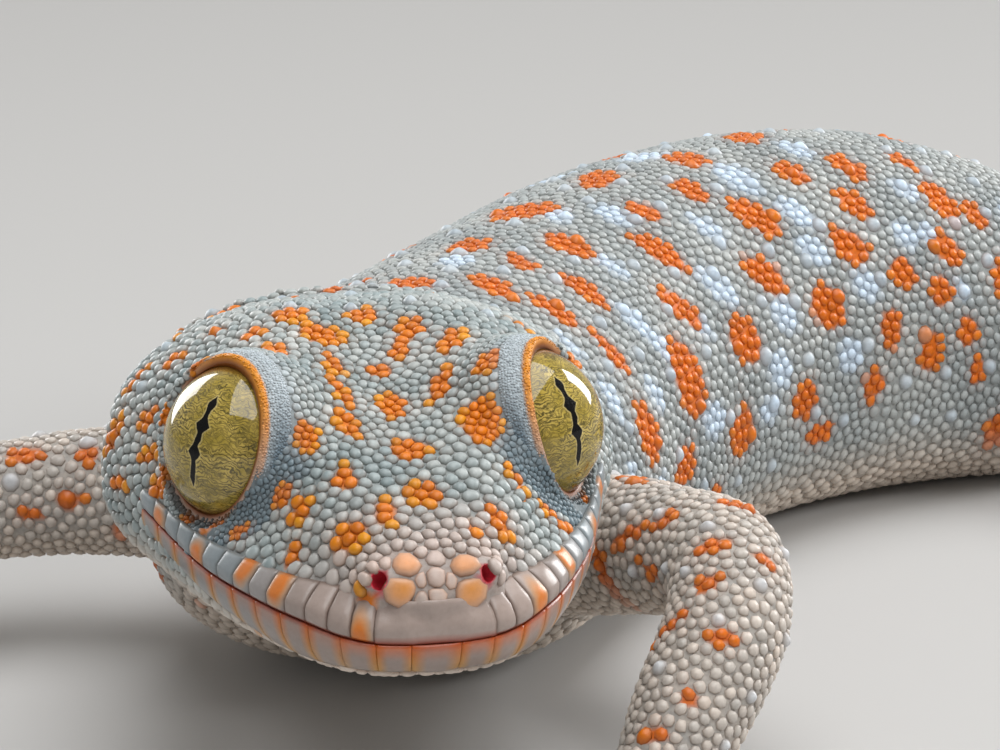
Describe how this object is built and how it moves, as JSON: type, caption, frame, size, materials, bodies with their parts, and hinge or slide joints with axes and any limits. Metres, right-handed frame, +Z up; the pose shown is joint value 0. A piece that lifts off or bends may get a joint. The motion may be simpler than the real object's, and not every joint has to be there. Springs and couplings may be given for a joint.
{
  "type": "tokay gecko model",
  "caption": "Life-size model of a tokay gecko at rest on its belly, head raised and turned to the viewer, golden eyes, blue-grey skin with orange spots.",
  "frame": {"origin": "middle of the belly's flat, on the floor", "axes": "+Z up; -Y towards the viewer, the way the head looks, which is turned a little to +X; +X towards the gecko's left"},
  "size_m": [0.2121, 0.195, 0.0391],
  "materials": {
    "skin": "granular blue-grey skin with orange spots and a soft satin sheen",
    "eye": "clear, wet gloss over a golden olive iris"
  },
  "bodies": {
    "root": {"head": "skin", "lower_jaw": "skin", "eye_left": "eye", "eye_right": "eye", "neck": "skin", "chest": "skin", "belly": "skin", "pelvis": "skin", "tail_base": "skin", "tail_middle": "skin", "tail_rear": "skin", "tail_tip": "skin", "upper_arm_left": "skin", "forearm_left": "skin", "hand_left": "skin", "upper_arm_right": "skin", "forearm_right": "skin", "hand_right": "skin", "thigh_left": "skin", "shank_left": "skin", "foot_left": "skin", "thigh_right": "skin", "shank_right": "skin", "foot_right": "skin"}
  },
  "joints": []
}
